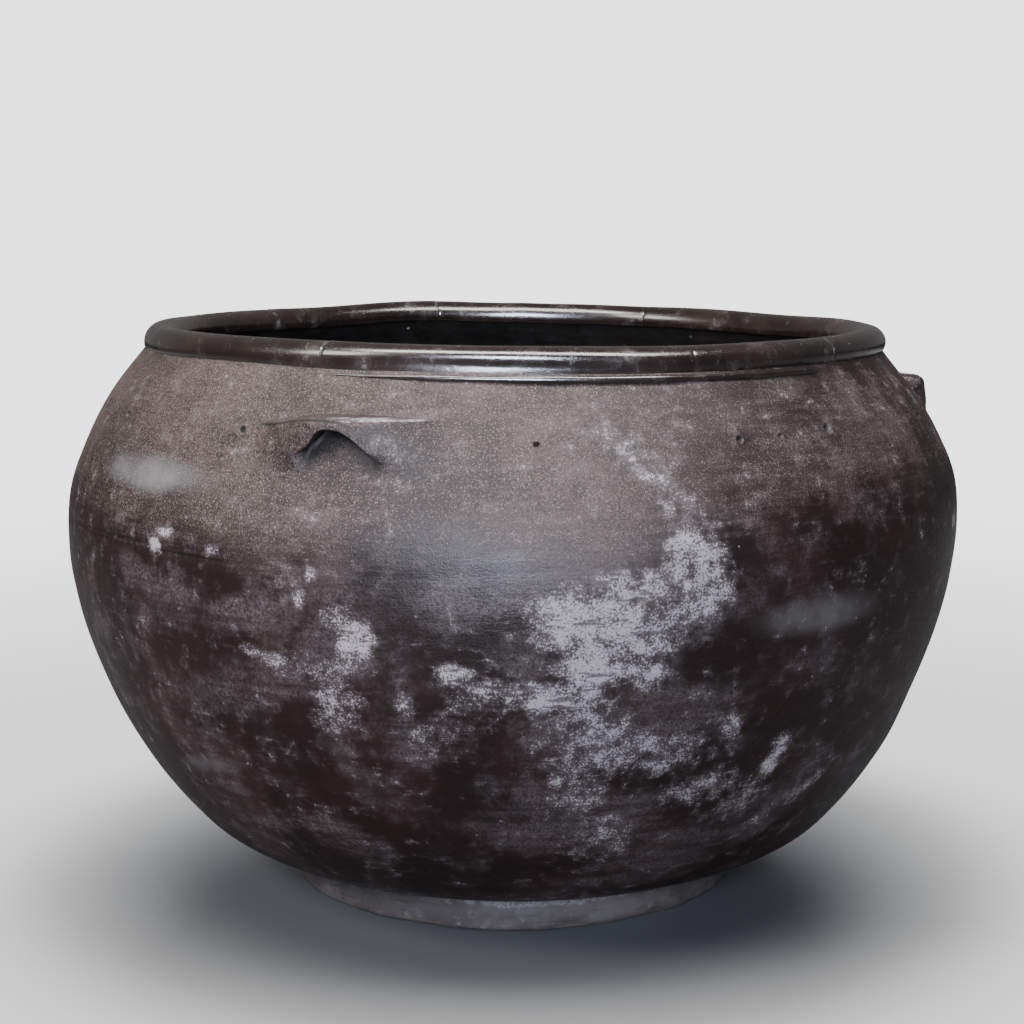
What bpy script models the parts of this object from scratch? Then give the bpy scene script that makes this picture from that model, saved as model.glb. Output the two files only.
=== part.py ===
"""A large black clay pot, hand built from separate pieces of clay.

Units are metres and +Z is up. The origin is the centre of the foot's flat underside, and the pot's
axis is the Z axis. Angles are in degrees round that axis: 0 is the front (-Y) and 90 is the right (+X).

The pot stands on a foot ring. A round base slab lies on a ledge inside the ring, and five bands of
wall are stacked on it, each with a sloping scarf joint to the next. A thick coil, laid in six lengths,
makes the rolled rim, with a thin bead of clay under part of it. Three lugs with finger hollows are
pressed onto the top band of wall.
"""

import math

import bmesh
import bpy
from mathutils import Vector

# Driving dimensions
BELLY_RADIUS = 0.4215
RIM_TOP = 0.5315
WALL_THICKNESS = 0.0165
JOINT_GAP = 0.0003

# The outside of the wall, as (height, radius) from the foot to the neck
WALL_OUTLINE = (
    (0.0313, 0.2235),
    (0.0450, 0.2615),
    (0.0620, 0.2930),
    (0.0900, 0.3222),
    (0.1350, 0.3552),
    (0.2000, 0.3873),
    (0.2700, 0.4108),
    (0.3400, BELLY_RADIUS),
    (0.3900, 0.4183),
    (0.4300, 0.4030),
    (0.4650, 0.3832),
    (0.5100, 0.3475),
)
FOOT_TOP = 0.0310
NECK_TOP = WALL_OUTLINE[-1][0]

# The bands of wall, as (name, height of the joint under the band, on the outside)
WALL_BANDS = (
    ("lower_bowl_wall", WALL_OUTLINE[0][0]),
    ("lower_belly_wall", 0.135),
    ("belly_wall", 0.240),
    ("shoulder_wall", 0.362),
    ("neck_wall", 0.415),
)
SCARF_RISE = 0.010
BAND_ROWS = 5

# Foot ring and base slab
FOOT_RADIUS = 0.212
FOOT_BULGE_RADIUS = 0.2190
FOOT_BORE = 0.176
LEDGE_BORE = 0.158
LEDGE_TOP = 0.008
EDGE_CHAMFER = 0.003

# Rolled rim and the bead under it
RIM_RADIUS = 0.335
RIM_ROLL_RADIUS = 0.0148
RIM_CORNERS = 16
RIM_JOINTS = (-129.0, -27.0, 24.6, 51.6, 154.0, 195.0)
BEAD_RADIUS = 0.0030
BEAD_HEIGHT = 0.5045
BEAD_CORNERS = 8
BEAD_START, BEAD_END = -35.5, 49.0

# Round shapes: the first of their corners is at START_ANGLE, and the rest follow at STEP_ANGLE
ROUND_STEPS = 48
STEP_ANGLE = 360.0 / ROUND_STEPS
START_ANGLE = 2.0
SMOOTH_ANGLE = math.radians(30)

# Lugs: each is centred on a corner of the wall, so that its back fits the wall's flats
LUG_NAMES = ("lug_front_left", "lug_right", "lug_back_left")
LUG_FIRST_STEP = -3
LUG_TOP, LUG_TOP_FALL = 0.477, 0.004
LUG_BOTTOM, LUG_BOTTOM_RISE = 0.424, 0.005
LUG_RADIUS = 0.409
LUG_CORNER = 0.010
LUG_END_DEPTH = 0.0015
LUG_TAPER = 1.5
LUG_HALF_STATIONS = 10
LUG_STATION_ANGLE = STEP_ANGLE / 6
HOLLOW_RADIUS, HOLLOW_HEIGHT = 0.409, 0.434
HOLLOW_HALF_SIZE = (0.036, 0.021, 0.040)
HOLLOW_LEAN = 20.0


def clear_scene():
    for item in list(bpy.data.objects):
        bpy.data.objects.remove(item)


def on_pot(radius, angle, height):
    """The point at this radius and height, at this angle round the pot."""
    turn = math.radians(angle)
    return Vector((radius * math.sin(turn), -radius * math.cos(turn), height))


def outline_slopes():
    """The outline's slope at each of its points: the mean of the two spans that meet there."""
    spans = [
        (above[1] - below[1]) / (above[0] - below[0])
        for below, above in zip(WALL_OUTLINE, WALL_OUTLINE[1:])
    ]
    inner = [(below + above) / 2 for below, above in zip(spans, spans[1:])]
    return [spans[0], *inner, spans[-1]]


WALL_SLOPES = outline_slopes()


def wall_radius(height):
    """The outside radius of the wall at a height, on a smooth curve through WALL_OUTLINE."""
    height = min(max(height, WALL_OUTLINE[0][0]), NECK_TOP)
    span = next(i for i, point in enumerate(WALL_OUTLINE[1:]) if height <= point[0])
    (low, start), (high, end) = WALL_OUTLINE[span], WALL_OUTLINE[span + 1]
    length = high - low
    t = (height - low) / length
    return (
        (2 * t**3 - 3 * t**2 + 1) * start
        + (t**3 - 2 * t**2 + t) * length * WALL_SLOPES[span]
        + (3 * t**2 - 2 * t**3) * end
        + (t**3 - t**2) * length * WALL_SLOPES[span + 1]
    )


def wall_section(outer_height):
    """A point on the outside of the wall, and the point WALL_THICKNESS behind it on the inside."""
    step = 0.001
    slope = (wall_radius(outer_height + step) - wall_radius(outer_height - step)) / (2 * step)
    length = math.hypot(1, slope)
    radius = wall_radius(outer_height)
    inside = (radius - WALL_THICKNESS / length, outer_height + WALL_THICKNESS * slope / length)
    return (radius, outer_height), inside


def inside_radius(height):
    """The inside radius of the wall at a height, from the inside points of the sections."""
    rows = [wall_section(WALL_OUTLINE[0][0] + 0.004 * i)[1] for i in range(119)]
    rows = [(FOOT_BORE + 0.004, FOOT_TOP), *rows]
    for (r_low, z_low), (r_high, z_high) in zip(rows, rows[1:]):
        if z_low <= height <= z_high:
            return r_low + (r_high - r_low) * (height - z_low) / (z_high - z_low)
    return rows[-1][0]


def clay(name, colour, roughness):
    material = bpy.data.materials.new(name)
    material.use_nodes = True
    shader = material.node_tree.nodes["Principled BSDF"]
    shader.inputs["Base Color"].default_value = (*colour, 1)
    shader.inputs["Roughness"].default_value = roughness
    shader.inputs["Metallic"].default_value = 0.0
    return material


def add_object(name, mesh_data, material):
    mesh = bpy.data.meshes.new(name)
    bmesh.ops.recalc_face_normals(mesh_data, faces=mesh_data.faces)
    mesh_data.to_mesh(mesh)
    mesh_data.free()
    if material:
        mesh.materials.append(material)
    mesh.shade_smooth()
    mesh.set_sharp_from_angle(angle=SMOOTH_ANGLE)
    item = bpy.data.objects.new(name, mesh)
    bpy.context.scene.collection.objects.link(item)
    return item


def swept(name, sections, material, whole_turn):
    """A solid through sections: closed rings of points, in order, joined end to end or capped."""
    shape = bmesh.new()
    rings = [[shape.verts.new(point) for point in section] for section in sections]
    following = rings[1:] + ([rings[0]] if whole_turn else [])
    for ring, ahead in zip(rings, following):
        for i, corner in enumerate(ring):
            j = (i + 1) % len(ring)
            shape.faces.new((corner, ring[j], ahead[j], ahead[i]))
    if not whole_turn:
        shape.faces.new(rings[0])
        shape.faces.new(rings[-1])
    return add_object(name, shape, material)


def step_angle(step):
    return START_ANGLE + STEP_ANGLE * step


def turned(name, outline, material):
    """A ring from an outline of (radius, height) points that is turned once round the axis."""
    sections = [
        [on_pot(radius, step_angle(step), height) for radius, height in outline]
        for step in range(ROUND_STEPS)
    ]
    return swept(name, sections, material, whole_turn=True)


def flat_share(angle):
    """How far the flats of a round shape are from the axis at an angle, as a share of its radius."""
    half = math.radians(STEP_ANGLE / 2)
    past = math.radians((angle - START_ANGLE) % STEP_ANGLE)
    return math.cos(half) / math.cos(past - half)


def turned_part(name, outline, start, end, material):
    """A length of ring from an outline, between two angles, with corners where a whole ring's are."""
    first = math.ceil((start + 0.5 - START_ANGLE) / STEP_ANGLE)
    last = math.floor((end - 0.5 - START_ANGLE) / STEP_ANGLE)
    angles = [start, *(step_angle(step) for step in range(first, last + 1)), end]
    sections = [
        [on_pot(radius * flat_share(angle), angle, height) for radius, height in outline]
        for angle in angles
    ]
    return swept(name, sections, material, whole_turn=False)


def make_foot_ring(material):
    outline = (
        (LEDGE_BORE, 0.0),
        (FOOT_RADIUS - EDGE_CHAMFER, 0.0),
        (FOOT_RADIUS, EDGE_CHAMFER),
        ((FOOT_RADIUS + FOOT_BULGE_RADIUS) / 2, FOOT_TOP * 0.45),
        (FOOT_BULGE_RADIUS, FOOT_TOP - EDGE_CHAMFER),
        (FOOT_BULGE_RADIUS - EDGE_CHAMFER, FOOT_TOP),
        (FOOT_BORE, FOOT_TOP),
        (FOOT_BORE, LEDGE_TOP),
        (LEDGE_BORE, LEDGE_TOP),
    )
    turned("foot_ring", outline, material)


def make_base_slab(material):
    shape = bmesh.new()
    radius = FOOT_BORE - JOINT_GAP
    low = LEDGE_TOP + JOINT_GAP
    rim = [shape.verts.new(on_pot(radius, step_angle(i), low)) for i in range(ROUND_STEPS)]
    underside = shape.faces.new(rim)
    pulled = bmesh.ops.extrude_face_region(shape, geom=[underside])["geom"]
    raised = [item for item in pulled if isinstance(item, bmesh.types.BMVert)]
    bmesh.ops.translate(shape, verts=raised, vec=(0, 0, FOOT_TOP - low))
    add_object("base_slab", shape, material)


def joint_edge(height, gap):
    """The outer and inner ends of the scarf joint that crosses the wall from this outside height."""
    inner_height = height + SCARF_RISE
    return (wall_radius(height + gap), height + gap), (
        inside_radius(inner_height + gap),
        inner_height + gap,
    )


def rows_between(radius_at, first, last):
    """The points from one end of a band's face to the other, at even steps of height."""
    rows = [first[1] + (last[1] - first[1]) * row / BAND_ROWS for row in range(1, BAND_ROWS)]
    return [first, *((radius_at(height), height) for height in rows), last]


def band_faces(index):
    """The (radius, height) points up a band's outer face, and those down its inner face."""
    low = WALL_BANDS[index][1]
    if index == 0:
        low_outer, low_inner = (wall_radius(low), low), (inside_radius(low), low)
    else:
        low_outer, low_inner = joint_edge(low, JOINT_GAP * 1.5)
    if index == len(WALL_BANDS) - 1:
        high_outer = (wall_radius(NECK_TOP), NECK_TOP)
        high_inner = (wall_radius(NECK_TOP) - WALL_THICKNESS * 1.2, NECK_TOP)
    else:
        high_outer, high_inner = joint_edge(WALL_BANDS[index + 1][1], 0.0)
    outer = rows_between(wall_radius, low_outer, high_outer)
    inner = rows_between(inside_radius, high_inner, low_inner)
    return outer, inner


def make_wall_bands(material):
    for index, (name, _) in enumerate(WALL_BANDS):
        outer, inner = band_faces(index)
        turned(name, outer + inner, material)


def rolled(radius, height, roll_radius, corners):
    """The round section of a roll of clay, centred at this radius and height."""
    turns = [2 * math.pi * (corner + 0.5) / corners for corner in range(corners)]
    return [
        (radius + roll_radius * math.cos(turn), height + roll_radius * math.sin(turn))
        for turn in turns
    ]


def make_rim(material):
    seat = NECK_TOP + JOINT_GAP
    section = rolled(RIM_RADIUS, RIM_TOP - RIM_ROLL_RADIUS, RIM_ROLL_RADIUS, RIM_CORNERS)
    outline = [(radius, max(height, seat)) for radius, height in section]
    half_gap = math.degrees(JOINT_GAP / 2 / (RIM_RADIUS - RIM_ROLL_RADIUS))
    ends = (*RIM_JOINTS[1:], RIM_JOINTS[0] + 360)
    for number, (start, end) in enumerate(zip(RIM_JOINTS, ends), 1):
        turned_part(f"rim_coil_{number}", outline, start + half_gap, end - half_gap, material)


def make_bead(material):
    """A thin roll of clay laid along the outside of the neck, just under the rim."""
    step = 0.001
    slope = (wall_radius(BEAD_HEIGHT + step) - wall_radius(BEAD_HEIGHT - step)) / (2 * step)
    off_wall = (BEAD_RADIUS + JOINT_GAP) / math.hypot(1, slope)
    radius = wall_radius(BEAD_HEIGHT) + off_wall
    outline = rolled(radius, BEAD_HEIGHT - off_wall * slope, BEAD_RADIUS, BEAD_CORNERS)
    turned_part("neck_bead", outline, BEAD_START, BEAD_END, material)


def flat_radius(height, angle):
    """How far the outside of the top band is from the axis, on its flats, at a height and angle."""
    rows = band_faces(len(WALL_BANDS) - 1)[0]
    (r_low, z_low), (r_high, z_high) = next(
        pair for pair in zip(rows, rows[1:]) if height <= pair[1][1]
    )
    corner = r_low + (r_high - r_low) * (height - z_low) / (z_high - z_low)
    return corner * flat_share(angle)


def lug_section(across, angle):
    """The lug's outline at across, from -1 to 1 over its width, as (radius, height) points."""
    share = (1 - across**2) ** LUG_TAPER
    top = LUG_TOP - LUG_TOP_FALL * across**2
    bottom = LUG_BOTTOM + LUG_BOTTOM_RISE * across**2
    least = flat_radius(top, angle) + LUG_END_DEPTH
    face = least + (LUG_RADIUS - least) * share
    corner = LUG_CORNER * share + 0.0005
    points = []
    for turn in (90, 60, 30, 0):
        turned = math.radians(turn)
        shelf = face - corner + corner * math.cos(turned)
        points.append((shelf, top - corner + corner * math.sin(turned)))
    for part in (0.6, 0.3):
        height = bottom + (top - corner - bottom) * part
        points.append((max(face, flat_radius(height, angle) + LUG_END_DEPTH), height))
    points.append((max(face - 0.002, flat_radius(bottom, angle) + LUG_END_DEPTH), bottom))
    rows = [height for _, height in band_faces(len(WALL_BANDS) - 1)[0]]
    for height in (bottom, *(z for z in rows if LUG_BOTTOM < z < LUG_TOP), top):
        points.append((flat_radius(height, angle) + JOINT_GAP * 1.3, height))
    return points


def hollow_cutter(name, angle):
    """The rounded space that three fingers reach up into, under the lug."""
    shape = bmesh.new()
    bmesh.ops.create_uvsphere(shape, u_segments=24, v_segments=14, radius=1.0)
    bmesh.ops.scale(shape, verts=shape.verts, vec=HOLLOW_HALF_SIZE)
    cutter = add_object(name, shape, None)
    cutter.location = on_pot(HOLLOW_RADIUS, angle, HOLLOW_HEIGHT)
    cutter.rotation_euler = (math.radians(-HOLLOW_LEAN), 0, math.radians(angle))
    cutter.hide_render = True
    cutter.display_type = "WIRE"
    return cutter


def make_lugs(material):
    stations = range(-LUG_HALF_STATIONS, LUG_HALF_STATIONS + 1)
    for number, name in enumerate(LUG_NAMES):
        middle = step_angle(LUG_FIRST_STEP + number * ROUND_STEPS // len(LUG_NAMES))
        sections = []
        for station in stations:
            angle = middle + LUG_STATION_ANGLE * station
            outline = lug_section(station / LUG_HALF_STATIONS, angle)
            sections.append([on_pot(radius, angle, height) for radius, height in outline])
        lug = swept(name, sections, material, whole_turn=False)
        cut = lug.modifiers.new("finger_hollow", "BOOLEAN")
        cut.operation = "DIFFERENCE"
        cut.object = hollow_cutter(f"finger_hollow_{number + 1}", middle)


def main():
    clear_scene()
    body_clay = clay("burnished_black_clay", (0.050, 0.041, 0.040), 0.45)
    foot_clay = clay("worn_foot_clay", (0.105, 0.098, 0.100), 0.75)
    rim_clay = clay("polished_rim_clay", (0.045, 0.038, 0.038), 0.32)
    make_foot_ring(foot_clay)
    make_base_slab(foot_clay)
    make_wall_bands(body_clay)
    make_rim(rim_clay)
    make_bead(rim_clay)
    make_lugs(body_clay)


main()
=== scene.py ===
"""The looks of the large black clay pot, built over its CAD model.

Every piece is a closed solid of its own, made as a ring of sections round the pot's axis, which is
the Z axis. Azimuths are in degrees: 0 is the front (-Y) and 90 is the right (+X). Lengths are in
metres.
"""

import math

import bpy
import numpy as np
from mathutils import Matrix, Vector


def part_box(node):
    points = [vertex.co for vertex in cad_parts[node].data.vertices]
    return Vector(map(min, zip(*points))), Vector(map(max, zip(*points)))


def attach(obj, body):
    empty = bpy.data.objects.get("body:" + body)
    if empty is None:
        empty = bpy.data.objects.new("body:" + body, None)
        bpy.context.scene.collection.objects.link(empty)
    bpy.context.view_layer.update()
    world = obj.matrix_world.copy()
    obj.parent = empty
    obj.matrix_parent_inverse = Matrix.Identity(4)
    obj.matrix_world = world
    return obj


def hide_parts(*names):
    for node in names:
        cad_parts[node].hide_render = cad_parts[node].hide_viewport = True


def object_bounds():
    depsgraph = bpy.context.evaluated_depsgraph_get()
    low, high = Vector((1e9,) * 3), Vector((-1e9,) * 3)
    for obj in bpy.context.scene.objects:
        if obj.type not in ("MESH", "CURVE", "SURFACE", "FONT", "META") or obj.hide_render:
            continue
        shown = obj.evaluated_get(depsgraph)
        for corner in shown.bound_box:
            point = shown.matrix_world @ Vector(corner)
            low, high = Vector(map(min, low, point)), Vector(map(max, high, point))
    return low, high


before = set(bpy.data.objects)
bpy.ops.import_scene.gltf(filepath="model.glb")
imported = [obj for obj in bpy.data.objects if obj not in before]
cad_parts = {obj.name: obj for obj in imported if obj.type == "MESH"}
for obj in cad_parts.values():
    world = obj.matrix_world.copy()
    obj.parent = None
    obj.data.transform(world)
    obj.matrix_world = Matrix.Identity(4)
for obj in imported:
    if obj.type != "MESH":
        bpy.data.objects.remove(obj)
cad_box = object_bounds()

# ---------------------------------------------------------------- dimensions

RIM_TOP = cad_box[1].z
NECK_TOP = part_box("neck_wall")[1].z
FOOT_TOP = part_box("foot_ring")[1].z
BANDS = ("lower_bowl_wall", "lower_belly_wall", "belly_wall", "shoulder_wall", "neck_wall")
JOINTS = [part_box(name)[0].z for name in BANDS]
SCARF_RISE = 0.010
WALL_THICKNESS = 0.0165
PIT_RADIUS = 0.384
LUG_WALL_RADIUS = 0.386
COLUMN_STEP = 0.75

OUTLINE_HEIGHTS = np.array(
    [JOINTS[0], 0.045, 0.062, 0.090, 0.135, 0.200, 0.270, 0.340, 0.390, 0.430, 0.465, NECK_TOP]
)
OUTLINE_RADII = np.array(
    [0.2235, 0.2615, 0.2930, 0.3222, 0.3552, 0.3873, 0.4108, 0.4215, 0.4183, 0.403, 0.3832, 0.3475]
)

RIM_ROLL = 0.0148
RIM_RADIUS = 0.335
RIM_JOINTS = (-129.0, -27.0, 24.6, 51.6, 154.0, 195.0)
LUG_AZIMUTHS = (-20.5, 99.5, 219.5)
LUG_NAMES = ("lug_front_left", "lug_right", "lug_back_left")
# Small pits in the shoulder: azimuth, height, size
PITS = (
    (2.7, 0.4585, 1.3), (27.8, 0.4585, 1.2), (33.9, 0.4590, 1.0), (42.1, 0.4605, 1.7),
    (64.5, 0.4600, 1.2), (74.9, 0.4590, 1.0), (-35.0, 0.4610, 1.6), (-60.4, 0.4610, 1.3),
    (-73.0, 0.4640, 1.2), (120.0, 0.4600, 1.0), (134.5, 0.4620, 1.2), (149.0, 0.4590, 1.0),
    (163.5, 0.4600, 1.1), (178.0, 0.4610, 1.0), (193.0, 0.4600, 1.2), (243.0, 0.4600, 1.0),
    (257.5, 0.4590, 1.1), (271.0, 0.4610, 1.0),
)  # fmt: skip


def smooth(low, high, value):
    """0 below low, 1 above high, and a smooth step between them."""
    t = np.clip((np.asarray(value, float) - low) / (high - low), 0, 1)
    return t * t * (3 - 2 * t)


def eased(value, knots, values):
    """Interpolation that levels off at every knot."""
    value = np.asarray(value, float)
    knots, values = np.asarray(knots, float), np.asarray(values, float)
    i = np.clip(np.searchsorted(knots, value, side="right") - 1, 0, len(knots) - 2)
    t = smooth(0, 1, (value - knots[i]) / (knots[i + 1] - knots[i]))
    return values[i] * (1 - t) + values[i + 1] * t


def wrapped(degrees):
    return (np.asarray(degrees, float) + 180) % 360 - 180


def wall_radius(height):
    """The outside radius of the wall at a height, on a smooth curve through the outline."""
    z = np.clip(np.asarray(height, float), OUTLINE_HEIGHTS[0], OUTLINE_HEIGHTS[-1])
    spans = np.diff(OUTLINE_RADII) / np.diff(OUTLINE_HEIGHTS)
    slopes = np.concatenate([spans[:1], (spans[:-1] + spans[1:]) / 2, spans[-1:]])
    i = np.clip(np.searchsorted(OUTLINE_HEIGHTS, z, side="right") - 1, 0, len(spans) - 1)
    length = np.diff(OUTLINE_HEIGHTS)[i]
    t = (z - OUTLINE_HEIGHTS[i]) / length
    return (
        (2 * t**3 - 3 * t**2 + 1) * OUTLINE_RADII[i]
        + (t**3 - 2 * t**2 + t) * length * slopes[i]
        + (3 * t**2 - 2 * t**3) * OUTLINE_RADII[i + 1]
        + (t**3 - t**2) * length * slopes[i + 1]
    )


def inside_line():
    """The inside of the wall as (heights, radii), WALL_THICKNESS behind the outside."""
    z = np.linspace(OUTLINE_HEIGHTS[0], NECK_TOP, 240)
    slope = (wall_radius(z + 0.001) - wall_radius(z - 0.001)) / 0.002
    slope[0], slope[-1] = slope[1], slope[-2]
    length = np.hypot(1, slope)
    heights = z + WALL_THICKNESS * slope / length
    radii = wall_radius(z) - WALL_THICKNESS / length
    start, end = (FOOT_TOP, 0.180), (NECK_TOP, wall_radius(NECK_TOP) - WALL_THICKNESS * 1.2)
    heights = np.concatenate([[start[0]], heights, [end[0]]])
    radii = np.concatenate([[start[1]], radii, [end[1]]])
    return heights, radii


INSIDE = inside_line()


def inside_radius(height):
    return np.interp(height, *INSIDE)


# ---------------------------------------------------------------- handmade unevenness

waves = np.random.default_rng(11)
WAVES = [
    (
        int(waves.integers(2, 16)),
        waves.uniform(-70, 70),
        waves.uniform(0, 2 * math.pi),
        waves.uniform(0.4, 1.0),
    )
    for _ in range(36)
]


def unevenness(theta, z):
    """How far the hand-shaped surface stands out from the true one, in metres."""
    turn = np.radians(theta)
    out = np.zeros_like(turn)
    for around, upward, start, share in WAVES:
        fineness = math.hypot(around / 0.4, upward)
        out += share * 0.0052 / (6 + fineness) * np.sin(around * turn + upward * z + start)
    return out


def rim_warp(theta):
    """How far the rim rises and falls on its way round."""
    knots = (-180, -163, -138, -110, -70, -42, -18, 25, 60, 100, 128, 150, 171, 180)
    rises = (0.5, 3.0, -0.5, 1.1, 2.5, 4.2, 2.8, 0.5, 0.2, -1.5, -4.0, -2.2, -0.8, 0.5)
    return eased(wrapped(theta), knots, np.array(rises) / 1000)


def sideways(z):
    """How far the pot leans to the right at a height."""
    knots = (0.0, 0.08, 0.14, 0.20, 0.26, 0.30, 0.35, 0.41, 0.44, 0.49, 0.505, 0.52, 0.54)
    shifts = (0.0, 1.5, 0.3, -2.0, -2.2, -1.4, 0.0, 1.1, 0.6, 0.1, 0.3, 1.8, 2.0)
    return eased(z, knots, np.array(shifts) / 1000)


def on_pot(theta, radius, z, uneven=1.0):
    """The points at these azimuths, radii and heights, moved as the potter's hands moved them."""
    theta, radius, z = np.broadcast_arrays(*(np.asarray(a, float) for a in (theta, radius, z)))
    out = radius + unevenness(theta, z) * uneven * smooth(-0.01, 0.05, z)
    turn = np.radians(theta)
    x = out * np.sin(turn) + sideways(z)
    y = -out * np.cos(turn)
    height = z + rim_warp(theta) * smooth(0.40, 0.515, z)
    return np.stack([x, y, height], axis=-1)


# ---------------------------------------------------------------- what lies on the surface

# White deposits: azimuth, height, half width, half height, turn in degrees, strength
DEPOSITS = (
    (8.6, 0.326, 0.056, 0.036, 0, 0.92),
    (5.0, 0.336, 0.044, 0.018, 0, 0.82),
    (12.5, 0.352, 0.040, 0.020, 0, 0.70),
    (13.5, 0.312, 0.040, 0.032, 0, 0.85),
    (9.0, 0.291, 0.036, 0.030, 0, 0.88),
    (14.5, 0.282, 0.026, 0.022, 0, 0.66),
    (20.3, 0.362, 0.036, 0.040, 0, 0.60),
    (19.0, 0.383, 0.026, 0.014, 12, 0.88),
    (22.5, 0.344, 0.020, 0.030, 0, 0.62),
    (19.0, 0.327, 0.024, 0.018, 0, 0.58),
    (5.5, 0.262, 0.050, 0.020, 0, 0.72),
    (-1.8, 0.266, 0.052, 0.018, -4, 0.62),
    (-6.3, 0.281, 0.017, 0.012, 0, 0.82),
    (-3.0, 0.252, 0.034, 0.014, 0, 0.46),
    (9.0, 0.236, 0.046, 0.028, 0, 0.64),
    (13.5, 0.212, 0.078, 0.040, 0, 0.46),
    (19.0, 0.204, 0.050, 0.024, 6, 0.50),
    (8.0, 0.186, 0.032, 0.046, 0, 0.48),
    (11.5, 0.125, 0.040, 0.040, 0, 0.38),
    (25.0, 0.170, 0.056, 0.020, 10, 0.44),
    (27.0, 0.224, 0.010, 0.022, 0, 0.62),
    (35.0, 0.187, 0.013, 0.030, -18, 0.80),
    (44.0, 0.148, 0.036, 0.008, 38, 0.70),
    (31.0, 0.148, 0.044, 0.020, 34, 0.48),
    (37.0, 0.128, 0.050, 0.012, 34, 0.42),
    (-17.4, 0.306, 0.020, 0.026, 0, 0.84),
    (-19.5, 0.328, 0.014, 0.016, 0, 0.60),
    (-22.0, 0.280, 0.046, 0.022, -8, 0.44),
    (-20.0, 0.248, 0.026, 0.036, 0, 0.52),
    (-26.5, 0.283, 0.030, 0.010, -12, 0.56),
    (-30.5, 0.291, 0.012, 0.010, 0, 0.56),
    (-45.0, 0.366, 0.009, 0.008, 0, 1.10),
    (-43.5, 0.378, 0.014, 0.006, 0, 0.55),
    (-35.3, 0.369, 0.012, 0.007, 0, 0.66),
    (-22.4, 0.357, 0.008, 0.012, 0, 0.66),
    (-23.6, 0.337, 0.009, 0.012, 0, 0.56),
    (-12.0, 0.250, 0.009, 0.018, 0, 0.52),
    (-9.0, 0.225, 0.030, 0.024, 0, 0.36),
    (-14.8, 0.456, 0.026, 0.012, -25, 0.42),
    (13.5, 0.453, 0.050, 0.015, -58, 0.44),
    (18.0, 0.415, 0.036, 0.018, -48, 0.46),
    (10.0, 0.470, 0.020, 0.006, 0, 0.50),
    (-25.0, 0.049, 0.060, 0.012, 0, 0.40),
    (18.0, 0.040, 0.100, 0.010, 0, 0.55),
    (8.0, 0.052, 0.050, 0.012, 0, 0.45),
)


def far_side_deposits():
    """Deposits for the part of the pot that faces away, of the same kinds as the rest."""
    rng = np.random.default_rng(5)
    spots = []
    for _ in range(26):
        azimuth = rng.uniform(68, 292)
        height = rng.uniform(0.09, 0.38)
        size = rng.uniform(0.012, 0.048)
        half_height = size * rng.uniform(0.4, 0.9)
        turn = rng.uniform(-30, 30)
        strength = rng.uniform(0.4, 0.85)
        spots.append((azimuth, height, size, half_height, turn, strength))
    return spots


ALL_DEPOSITS = (*DEPOSITS, *far_side_deposits())


def patch(theta, z, spot):
    """A soft-edged oval patch on the wall: its strength well inside it, 0 outside."""
    azimuth, height, half_width, half_height, turn, strength = spot
    across = np.radians(wrapped(theta - azimuth)) * wall_radius(z)
    up = (z - height) * 1.15
    c, s = math.cos(math.radians(turn)), math.sin(math.radians(turn))
    along, aside = across * c + up * s, up * c - across * s
    return strength * (1 - smooth(0.25, 1.35, np.hypot(along / half_width, aside / half_height)))


def deposit_amount(theta, z):
    amount = np.zeros_like(theta)
    for spot in ALL_DEPOSITS:
        here = patch(theta, z, spot)
        amount = np.maximum(amount, here) + 0.15 * here
    # a ragged pale edge where the wall meets the foot
    hem = 0.5 + 0.25 * np.sin(np.radians(theta * 3 + 40)) + 0.25 * np.sin(np.radians(theta * 7))
    return np.maximum(amount, (0.25 + 0.5 * hem) * (1 - smooth(0.033, 0.043, z)))


def dust_amount(theta, z):
    """Pale brown dust: thick on the shoulder, most of all at the front left."""
    side = 0.5 + 0.5 * np.cos(np.radians(theta + 38))
    upper = smooth(0.335, 0.455, z + 0.035 * (side - 0.5))
    return upper * (0.30 + 0.70 * side**2)


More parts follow.
